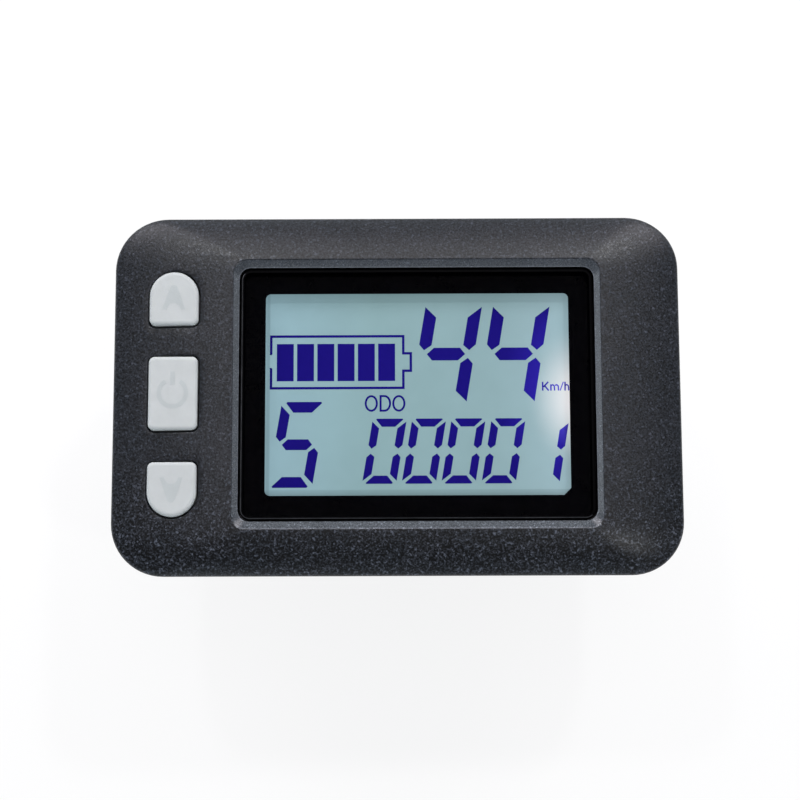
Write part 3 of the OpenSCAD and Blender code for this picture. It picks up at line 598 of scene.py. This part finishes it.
def face_rings():
    """Rings from the wall over the rim's fillet and up the four slopes to the window's edge."""
    out = body_outline(0.0)
    edge = rounded(*EDGE_SIZE, EDGE_R, LENS_X)
    rings = []
    steps = 7
    for k in range(steps + 1):
        a = math.radians(90 * k / steps)
        inset = RIM_FILLET * (1 - math.cos(a))
        drop = RIM_FILLET * (1 - math.sin(a))
        ring = []
        for p, q in zip(out, edge):
            t = inset / (q - p).length
            ring.append((*p.lerp(q, t), face_height(p, q, t) - drop))
        rings.append(ring)
    steps = 14
    for k in range(1, steps):
        ring = []
        for p, q in zip(out, edge):
            start = RIM_FILLET / (q - p).length
            t = start + (1 - start) * k / steps
            ring.append((*p.lerp(q, t), face_height(p, q, t)))
        rings.append(ring)
    return rings


def window_rings():
    """Rings over the land, down the chamfer and the pocket, and out under the roof."""
    pocket_w = LENS_W + 2 * LENS_GAP
    pocket_h = LENS_H + 2 * LENS_GAP
    pocket_r = LENS_R + LENS_GAP
    # How far each ring lies outside the pocket, and its height
    profile = [
        (CHAMFER + 0.17, EDGE_Z - 0.025), (CHAMFER + 0.1, EDGE_Z - 0.02),
        (CHAMFER + 0.02, EDGE_Z - 0.035), (CHAMFER - 0.06, EDGE_Z - 0.07),
        (CHAMFER - 0.15, EDGE_Z - 0.125), (CHAMFER - 0.3, EDGE_Z - 0.228),
        (0.2, LENS_TOP + 0.147), (0.08, LENS_TOP + 0.045), (0.01, LENS_TOP - 0.03),
        (0.0, LENS_TOP - 0.1), (0.0, TAPE_Z),
    ]
    rings = []
    for grow, z in profile:
        w = pocket_w + 2 * grow * SIDE_SHARE
        h = pocket_h + 2 * grow
        rings.append(at_height(rounded(w, h, pocket_r + CORNER_SHARE * grow, LENS_X), z))
    for z in (TAPE_Z, CEILING_Z):
        rings.append(at_height(rounded(SIGHT_W, SIGHT_H, SIGHT_R, LENS_X), z))
    return rings


def front_shell():
    """The whole shell as one closed band of rings, with the keys' holes cut through it."""
    under_z = CEILING_Z - 0.2
    inside = body_outline(WALL)
    edge = 0.12
    wall = [
        at_height(body_outline(LEAN + edge), PARTING_Z),
        at_height(body_outline(LEAN), PARTING_Z + edge),
    ]
    face = face_rings()
    rings = wall + face + window_rings()
    rings += [at_height(inside, under_z), at_height(inside, PARTING_Z)]
    shell = loft("front_shell", rings, joined=True)
    paint_window(shell, len(rings[0]), len(wall) + len(face))
    for key in KEYS:
        cut(shell, key_cutter(key))
    dress(shell, "display", None, "housing_plastic", "front_housing")


def paint_window(shell, count, first):
    """Finishes of the chamfer and the pocket by ring of faces, with light and shade painted in.

    The chamfer is painted lighter for the sheen it catches. A painted highlight runs along the
    top edge of the one below the window and along the foot of the others. The pocket walls are
    painted black as shade in the narrow gap.
    The finishes are places in the shell's list of materials.
    """
    for material in (FRONT_PLASTIC, CHAMFER_SHEEN, CHAMFER_HIGHLIGHT, GAP_SHADE):
        shell.data.materials.append(material)
    # By ring: 0 front plastic, 1 painted chamfer sheen, 2 painted highlight, 3 black painted
    # shade
    lower = [0, 2, 2, 2, 1, 1, 1, 3, 3, 3]
    other = [0, 0, 0, 1, 1, 1, 2, 3, 3, 3]
    for polygon in shell.data.polygons:
        ring = polygon.index // count - first
        if 0 <= ring < len(lower):
            normal = polygon.normal
            finishes = lower if normal.y > abs(normal.x) else other
            polygon.material_index = finishes[ring]


def slope_height(x):
    """Height of the sloping face beside the window, on the keys' side."""
    rim = Vector((-BODY_W / 2, 0.0))
    edge = Vector((LENS_X - EDGE_SIZE[0] / 2, 0.0))
    return face_height(rim, edge, (x - rim.x) / (edge.x - rim.x))


def key_cutter(key):
    """The hole of a key, with its upper edge rounded along the slope."""
    radius = 0.22
    spare_below = 1.5
    spare_above = 0.5
    rings = [at_height(key_points(key, KEY_GAP), CEILING_Z - spare_below)]
    steps = 4
    for k in range(steps + 1):
        a = math.radians(90 * k / steps)
        grow = KEY_GAP + radius * (1 - math.cos(a))
        drop = radius * (1 - math.sin(a))
        points = key_points(key, grow)
        rings.append([(p[0], p[1], slope_height(p[0]) - drop) for p in points])
    rings.append([(p[0], p[1], slope_height(p[0]) + spare_above) for p in points])
    return loft("cutter", rings)


front_shell()


# Keys

ICON_LIFT = 0.012

# A narrow flat ring beside a fillet keeps the flat face behind it evenly shaded
FLAT_RIM = 0.04


def key_cap(key):
    top = box_mm("key_" + key)[1].z
    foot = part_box("skirt_" + key)[1].z / MM
    fillet = 0.6
    rings = [at_height(key_points(key), foot)]
    steps = 8
    for k in range(steps + 1):
        a = math.radians(90 * k / steps)
        inset = fillet * (1 - math.cos(a))
        rings.append(at_height(key_points(key, -inset), top - fillet * (1 - math.sin(a))))
    rings.append(at_height(key_points(key, -fillet - FLAT_RIM), top))
    cap = loft("key_cap_" + key, rings, sharp=60.0)
    dress(cap, "key_" + key, KEY_SILICONE, "key_silicone", "key_" + key)


def slab(name, outlines, z, thick):
    """Flat plates of given outlines, joined in one mesh."""
    verts = []
    faces = []
    for outline in outlines:
        start = len(verts)
        count = len(outline)
        verts += [(p[0], p[1], z) for p in outline]
        verts += [(p[0], p[1], z + thick) for p in outline]
        faces.append(tuple(start + i for i in reversed(range(count))))
        faces.append(tuple(start + count + i for i in range(count)))
        for i in range(count):
            j = (i + 1) % count
            faces.append((start + i, start + j, start + count + j, start + count + i))
    return new_object(name, verts, faces)


def band(path, width, closed=False):
    """Outlines of a line of a given width along a path, one piece for each step."""
    sides = []
    count = len(path)
    for i, p in enumerate(path):
        before = path[i - 1] if (i > 0 or closed) else None
        after = path[(i + 1) % count] if (i < count - 1 or closed) else None
        normals = []
        for a, b in ((before, p), (p, after)):
            if a is not None and b is not None:
                d = (Vector(b) - Vector(a)).normalized()
                normals.append(Vector((-d.y, d.x)))
        n = sum(normals, Vector((0.0, 0.0))).normalized()
        n = n * (width / 2 / max(0.3, n.dot(normals[0])))
        sides.append((Vector(p) + n, Vector(p) - n))
    out = []
    for i in range(count if closed else count - 1):
        j = (i + 1) % count
        out.append([sides[i][1], sides[j][1], sides[j][0], sides[i][0]])
    return out


def arc_path(x, y, rx, ry, start, end, steps):
    """Points on part of an ellipse, between two angles in degrees."""
    turns = [math.radians(start + (end - start) * k / steps) for k in range(steps + 1)]
    return [(x + rx * math.cos(a), y + ry * math.sin(a)) for a in turns]


def arrowhead(x, y, turn):
    """Pointed head with a hollow foot, as two mirrored halves."""
    apex = 2.0
    foot = -1.75
    half = 1.75
    hollow = arc_path(0, foot, 1.0, 1.0, 90, 12, 8)
    right = [(0, apex), (0.25, apex - 0.04), (0.43, apex - 0.16), (0.58, apex - 0.42),
             (0.78, apex - 0.95), (half, foot), (1.05, foot)]
    right += list(reversed(hollow))
    left = [(-px, py) for px, py in reversed(right)]
    return [[(x + turn * px, y + turn * py) for px, py in half_path]
            for half_path in (right, left)]


# The sign for on and off: radius and reach in degrees of its ring, foot and top of its bar
# above the centre, and the width of each
RING_R = 2.05
RING_REACH = (122, 418)
RING_LINE = 0.65
BAR_FOOT = 1.2
BAR_TOP = 3.25
BAR_LINE = 0.7


def key_icon(key):
    """An arrowhead, or the common sign for on and off, raised a little above the cap."""
    x, y, _, _ = key_box(key)
    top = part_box("key_" + key)[1].z / MM
    if KEYS[key]:
        outlines = arrowhead(x, y, KEYS[key])
    else:
        outlines = band(arc_path(x, y, RING_R, RING_R, *RING_REACH, 48), RING_LINE)
        outlines += band([(x, y + BAR_FOOT), (x, y + BAR_TOP)], BAR_LINE)
    icon = slab("icon_" + key, outlines, top, ICON_LIFT)
    dress(icon, "key_" + key, ICON_SILICONE, "key_silicone")


for each in KEYS:
    key_cap(each)
    key_icon(each)


# Window and picture

def window_lens():
    """Clear plate with a rounded front edge, sides painted black as shade in the gap, and a
    painted highlight on its rounded edge at the left and below.
    """
    back = 0.15
    front = 0.5
    air = 0.01
    rings = []
    steps = 4
    turns = [math.radians(90 * k / steps) for k in range(steps + 1)]
    for a in turns:
        inset = back * (1 - math.sin(a))
        z = lens_low.z + air + back * (1 - math.cos(a))
        rings.append((inset, z))
    for a in turns:
        inset = front * (1 - math.cos(a))
        z = LENS_TOP - front * (1 - math.sin(a))
        rings.append((inset, z))
    rings = [(back + FLAT_RIM, rings[0][1]), *rings, (front + FLAT_RIM, LENS_TOP)]
    loops = [at_height(rounded(LENS_W - 2 * i, LENS_H - 2 * i, LENS_R - i, LENS_X), z)
             for i, z in rings]
    lens = loft("clear_lens", loops)
    dress(lens, "display", LENS_CLEAR, "lens_glass", "window_lens")
    lens.data.materials.append(LENS_EDGE_HIGHLIGHT)
    lens.data.materials.append(GAP_SHADE)
    for polygon in lens.data.polygons:
        normal = polygon.normal
        if abs(normal.z) < 0.985:
            # The rounded edge facing left and down gets the painted highlight, the other sides
            # painted black shade
            edge_highlight = 0.7 < normal.z < 0.93 and normal.x + normal.y < 0
            polygon.material_index = 1 if edge_highlight else 2


def window_mask():
    """Black print on the back of the lens, with one corner of its clear area cut off."""
    out = rounded(mask_high.x - mask_low.x, mask_high.y - mask_low.y, LENS_R - 0.1, LENS_X)
    hole = rounded(VIEW_W, VIEW_H, VIEW_R, VIEW_X, VIEW_Y, cut=VIEW_CUT)
    low, high = mask_low.z, mask_high.z
    mask = loft("mask_print", [
        at_height(out, low), at_height(out, high), at_height(hole, high), at_height(hole, low),
    ], joined=True, sharp=30.0)
    dress(mask, "display", INK, "mask_ink", "window_mask")


def seven_segments(x, y, half_w, half_h, across, upright, slant, lit):
    """Segments of a slanted digit. across and upright are the bars' widths.

    Every tip is cut off a little, and t is the mean width that the tips are shaped by.
    """
    w = half_w
    h = half_h
    t = (across + upright) / 2
    tip = 0.17 * t
    low_tip = h - 0.12 * across
    top = [(-w + 0.35 * t + tip, h), (w - 0.35 * t - tip, h), (w - 0.43 * t, low_tip),
           (w - upright - 0.3 * t, h - across), (-w + upright + 0.3 * t, h - across),
           (-w + 0.43 * t, low_tip)]
    left = [(-w, h - 0.37 * t), (-w, 0.77 * t), (-w + 0.46 * upright, 0.31 * t),
            (-w + upright, 0.72 * t), (-w + upright, h - across - 0.21 * t)]
    middle = [(-w + 0.73 * upright, 0), (-w + 1.22 * upright, -across / 2),
              (w - 1.22 * upright, -across / 2), (w - 0.73 * upright, 0),
              (w - 1.22 * upright, across / 2), (-w + 1.22 * upright, across / 2)]

    def flip(points, fx, fy):
        return [(fx * px, fy * py) for px, py in points]

    shapes = {
        "top": top, "bottom": flip(top, 1, -1), "middle": middle,
        "upper_left": left, "upper_right": flip(left, -1, 1),
        "lower_left": flip(left, 1, -1), "lower_right": flip(left, -1, -1),
    }
    return [[(x + px + slant * py, y + py) for px, py in shapes[name]] for name in lit]


ZERO = ("top", "bottom", "upper_left", "upper_right", "lower_left", "lower_right")
ONE = ("upper_right", "lower_right")
FOUR = ("upper_left", "upper_right", "middle", "lower_right")
FIVE = ("top", "upper_left", "middle", "lower_right", "bottom")

# Digits: half their width and height, the widths of level and upright bars, and the slant
SPEED_DIGIT = (4.33, 8.05, 1.96, 1.92, 0.169)
GEAR_DIGIT = (3.41, 6.56, 1.64, 1.52, 0.17)
DISTANCE_DIGIT = (2.585, 4.97, 1.24, 1.2, 0.167)
LAST_DIGIT = (2.585, 4.87, 1.24, 1.2, 0.167)


def digits():
    """The distance, the speed above it and the gear on its left."""
    shapes = []
    for x in (-1.92, 4.07, 10.07, 16.14):
        shapes += seven_segments(x, -8.45, *DISTANCE_DIGIT, ZERO)
    shapes += seven_segments(22.72, -8.7, *LAST_DIGIT, ONE)
    for x in (7.5, 17.85):
        shapes += seven_segments(x, 6.45, *SPEED_DIGIT, FOUR)
    shapes += seven_segments(-15.2, -7.42, *GEAR_DIGIT, FIVE)
    return shapes


def battery():
    """An outline with its pole at the right, open at the left, and six bars."""
    line = 0.38
    left, right, tip = -19.2, 0.98, 2.13
    low, high = 1.26, 9.26
    pole_low, pole_high = 3.9, 6.6
    gap_low, gap_high = 4.3, 6.5
    shapes = band([
        (left, gap_high), (left, high), (right, high), (right, pole_high), (tip, pole_high),
        (tip, pole_low), (right, pole_low), (right, low), (left, low), (left, gap_low),
    ], line)
    for y, end in ((gap_high, 6.42), (gap_low, 4.38)):
        shapes += band([(left - 0.22, y), (left + 0.1, end)], 0.14)
    first, step = -18.33, 3.095
    bar_w, bar_low, bar_high = 2.58, 2.33, 8.1
    for k in range(6):
        x = first + step * k
        shapes.append([(x, bar_low), (x + bar_w, bar_low), (x + bar_w, bar_high), (x, bar_high)])
    return shapes


def legends():
    """The words ODO and Km/h, stroke by stroke."""
    shapes = []
    stroke = 0.31
    for x in (-3.91, 0.28):
        shapes += band(arc_path(x, -1.13, 0.85, 1.12, 0, 345, 23), stroke, closed=True)
    x, low, high = -2.5, -2.25, 0.0
    bow = arc_path(-1.9, (low + high) / 2, 0.85, (high - low) / 2, -90, 90, 12)
    shapes += band([(x, low), *bow, (x, high)], stroke, closed=True)
    low, high = 0.75, 2.1
    bold = 0.23
    shapes += band([(22.2, low), (22.2, high)], bold)
    shapes += band([(22.3, 1.3), (23.05, high)], bold)
    shapes += band([(22.5, 1.5), (23.1, low)], bold)
    body = low + 0.8
    shapes += band([(23.45, low), (23.45, 1.7)], bold)
    for x in (23.85, 24.45):
        shapes += band([(x - 0.35, body), (x - 0.1, body + 0.1), (x + 0.12, body - 0.1),
                        (x + 0.15, low)], bold * 0.9)
    shapes += band([(24.85, low), (25.35, high)], 0.16)
    shapes += band([(25.6, low), (25.6, high)], bold)
    shapes += band([(25.6, body), (25.9, body + 0.12), (26.12, body - 0.1), (26.15, low)],
                   bold * 0.9)
    return shapes


# The picture's outlines hold at this height, as seen from this place
MEASURED_Z = RIM_Z - 1.5
EYE = Vector((1.2, -42.8, 276.0 + RIM_Z))


def sunk(outlines, z):
    """Moves outlines down their lines of sight to another height."""
    grow = (EYE.z - z) / (EYE.z - MEASURED_Z)
    return [[(EYE.x + (p[0] - EYE.x) * grow, EYE.y + (p[1] - EYE.y) * grow) for p in outline]
            for outline in outlines]


def picture():
    """Every segment as a thin plate just above the film."""
    air = 0.005
    thick = 0.01
    z = FILM_TOP + air
    shapes = sunk(digits() + battery() + legends(), z)
    segments = slab("display_segments", shapes, z, thick)
    dress(segments, "display", CRYSTAL, "display_glass")


window_lens()
window_mask()
picture()


# Finishes of the pieces that keep their CAD shape

FINISHES = {
    "rear_housing": BACK_PLASTIC, "housing_seal": RUBBER, "housing_screws": STEEL,
    "window_tape": TAPE, "lcd_cushion": FOAM,
    "lcd_front_polarizer": FILM, "lcd_frame": WHITE_PLASTIC, "main_board": BOARD_GREEN,
    "keypad_mat": KEY_SILICONE, "keypad_frame": BACK_PLASTIC, "cable_grommet": RUBBER,
    "skirt_up": KEY_SILICONE, "skirt_power": KEY_SILICONE, "skirt_down": KEY_SILICONE,
    "clamp_saddle": CLAMP_PLASTIC, "clamp_cap": CLAMP_PLASTIC, "saddle_liner": RUBBER,
    "cap_liner": RUBBER, "clamp_bolts": STEEL, "clamp_nuts": STEEL, "saddle_screws": STEEL,
    "threaded_inserts": BRASS,
}

# Widths of the rounded edges, in millimetres
BEVELS = {
    "clamp_saddle": 0.3, "clamp_cap": 0.3, "clamp_bolts": 0.12, "clamp_nuts": 0.12,
    "rear_housing": 0.12, "cable_grommet": 0.15, "housing_screws": 0.08,
    "saddle_liner": 0.2, "cap_liner": 0.2,
}


def finish_nodes():
    """Gives every CAD node a material, the plain back plastic where none is named."""
    plain = {name: BACK_PLASTIC for name in frame["nodes"]}
    for name, material in {**plain, **FINISHES}.items():
        node = frame["nodes"][name]
        node.data.materials.clear()
        node.data.materials.append(material)
    for name, width in BEVELS.items():
        modifier = frame["nodes"][name].modifiers.new("edges", "BEVEL")
        modifier.width = width * MM
        modifier.segments = 2
        modifier.limit_method = "ANGLE"
        modifier.angle_limit = math.radians(40)
        modifier.harden_normals = True


finish_nodes()


# Camera, lights and floor

# The camera's turns in degrees and the place of the face's centre before it, in millimetres
TURN_X = -8.6462
TURN_Y = -0.1523
TURN_Z = 0.2205
FACE_SEEN = Vector((-0.46498, 0.83176, -279.3234))


def camera():
    """The camera, fitted to the photo's perspective."""
    turn = (Matrix.Rotation(math.radians(TURN_Z), 3, "Z")
            @ Matrix.Rotation(math.radians(TURN_Y), 3, "Y")
            @ Matrix.Rotation(math.radians(TURN_X), 3, "X"))
    place = -(turn.transposed() @ FACE_SEEN) + Vector((0, 0, RIM_Z))
    data = bpy.data.cameras.new("camera")
    data.sensor_fit = "HORIZONTAL"
    data.sensor_width = 36.0
    data.lens = 83.0
    data.clip_start = 0.01
    data.clip_end = 20.0
    cam = bpy.data.objects.new("camera", data)
    cam.matrix_world = Matrix.Translation(place * MM) @ turn.transposed().to_4x4()
    bpy.context.scene.collection.objects.link(cam)
    bpy.context.scene.camera = cam


TARGET = Vector((0, 0, EDGE_Z)) * MM
LAMP_DISTANCE = 0.9

# Direction from the display, width and height in metres, power in watts and colour.
# The two big ones light the top slope, and the small ones the ridges at the corners.
LAMPS = {
    "key_left": ((-0.42, 0.72, 0.55), (0.4, 0.4), 2.55, (1.0, 0.95, 1.0)),
    "key_right": ((0.42, 0.72, 0.55), (0.4, 0.4), 2.55, (1.0, 0.95, 1.0)),
    "top_soft": ((0.0, 0.6, 0.8), (0.45, 0.2), 0.5, (1.0, 0.96, 1.02)),
    "overhead": ((0.0, 0.12, 0.99), (0.35, 0.35), 1.05, (1.0, 0.96, 1.02)),
    "corner_left": ((-0.22, 0.47, 0.86), (0.06, 0.06), 1.1, (1, 1, 1)),
    "corner_right": ((0.27, 0.49, 0.83), (0.06, 0.06), 1.5, (1, 1, 1)),
    "corner_low": ((0.36, -0.25, 0.9), (0.06, 0.06), 0.85, (1, 1, 1)),
    "low_front": ((0.0, -0.9, 0.42), (0.7, 0.25), 0.1, (0.85, 0.95, 1.0)),
}


def lamp(name, direction, size, power, colour):
    """A lamp that faces the display from its direction."""
    data = bpy.data.lights.new(name, "AREA")
    data.shape = "RECTANGLE"
    data.size, data.size_y = size
    data.energy = power
    data.color = colour
    obj = bpy.data.objects.new(name, data)
    obj.location = TARGET + Vector(direction).normalized() * LAMP_DISTANCE
    obj.rotation_mode = "QUATERNION"
    obj.rotation_quaternion = (TARGET - obj.location).to_track_quat("-Z", "Y")
    bpy.context.scene.collection.objects.link(obj)


def seen_directly(tree, *kinds):
    """1 for camera rays and for the other kinds of ray named, else 0."""
    path = tree.nodes.new("ShaderNodeLightPath")
    total = path.outputs["Is Camera Ray"]
    for kind in kinds:
        add = tree.nodes.new("ShaderNodeMath")
        add.operation = "ADD"
        add.use_clamp = True
        tree.links.new(total, add.inputs[0])
        tree.links.new(path.outputs[kind], add.inputs[1])
        total = add.outputs["Value"]
    return total


def world():
    """A soft tent: bright low down, brightest behind the display, and dark overhead.

    Its low band is as pale as the background, so gloss shows that too.
    """
    made = bpy.data.worlds.new("studio")
    made.use_nodes = True
    tree = made.node_tree
    generated = tree.nodes.new("ShaderNodeTexCoord").outputs["Generated"]
    direction = separated(tree, generated)
    by_height = ramp(tree, direction["Z"], [
        (0.04, (0.2, 0.22, 0.25)), (0.12, (1.2, 1.3, 1.4)), (0.22, (1.1, 1.2, 1.28)),
        (0.36, (0.2, 0.22, 0.25)), (0.7, (0.04, 0.045, 0.05)), (0.86, (0.01, 0.011, 0.012)),
        (1.0, (0.004, 0.004, 0.005)),
    ])
    along = mapped(tree, direction["Y"], -1.0, 1.0, 2.2, 1.35)
    across = mapped(tree, direction["X"], -1.0, 1.0, 1.25, 0.75)
    sides = arithmetic(tree, "MULTIPLY", along, across)
    tent = vector_maths(tree, "SCALE", by_height, scale=sides)
    white = (1, 1, 1, 1)
    colour = mixed(tree, seen_directly(tree, "Is Transmission Ray"), tent, white)
    tree.links.new(colour, tree.nodes["Background"].inputs["Color"])
    bpy.context.scene.world = made


# The floor: its gap below the clamp and half its width, in millimetres
FLOOR_GAP = 4.5
FLOOR_HALF = 1500.0


def floor():
    """White to the eye, with the object's shadow near it, but grey to the light it returns."""
    z = CLAMP_LOW - FLOOR_GAP
    half = FLOOR_HALF
    plane = new_object("floor", [(-half, -half, z), (half, -half, z), (half, half, z),
                                 (-half, half, z)], [(0, 1, 2, 3)])
    material, tree, shader = new_material("floor_white")
    shader.inputs["Roughness"].default_value = 0.9
    seen = seen_directly(tree, "Is Glossy Ray", "Is Transmission Ray")
    paint = mixed(tree, seen, (0.2, 0.2, 0.2, 1), (0.9, 0.9, 0.9, 1))
    tree.links.new(paint, shader.inputs["Base Color"])
    glow = add_node(tree, "ShaderNodeEmission", Strength=1.03)
    # The glow's share grows away from the object, so that the shadow near it still shows
    distance = vector_maths(tree, "LENGTH", object_coordinates(tree))
    share = mapped(tree, distance, 0.05, 0.3, 0.8, 1.0)
    mix = tree.nodes.new("ShaderNodeMixShader")
    tree.links.new(arithmetic(tree, "MULTIPLY", share, seen), mix.inputs["Fac"])
    tree.links.new(shader.outputs["BSDF"], mix.inputs[1])
    tree.links.new(glow.outputs["Emission"], mix.inputs[2])
    tree.links.new(mix.outputs["Shader"], tree.nodes["Material Output"].inputs["Surface"])
    plane.data.materials.append(material)


camera()
for lamp_name, settings in LAMPS.items():
    lamp(lamp_name, *settings)
world()
floor()

bpy.context.scene.view_settings.view_transform = "Standard"
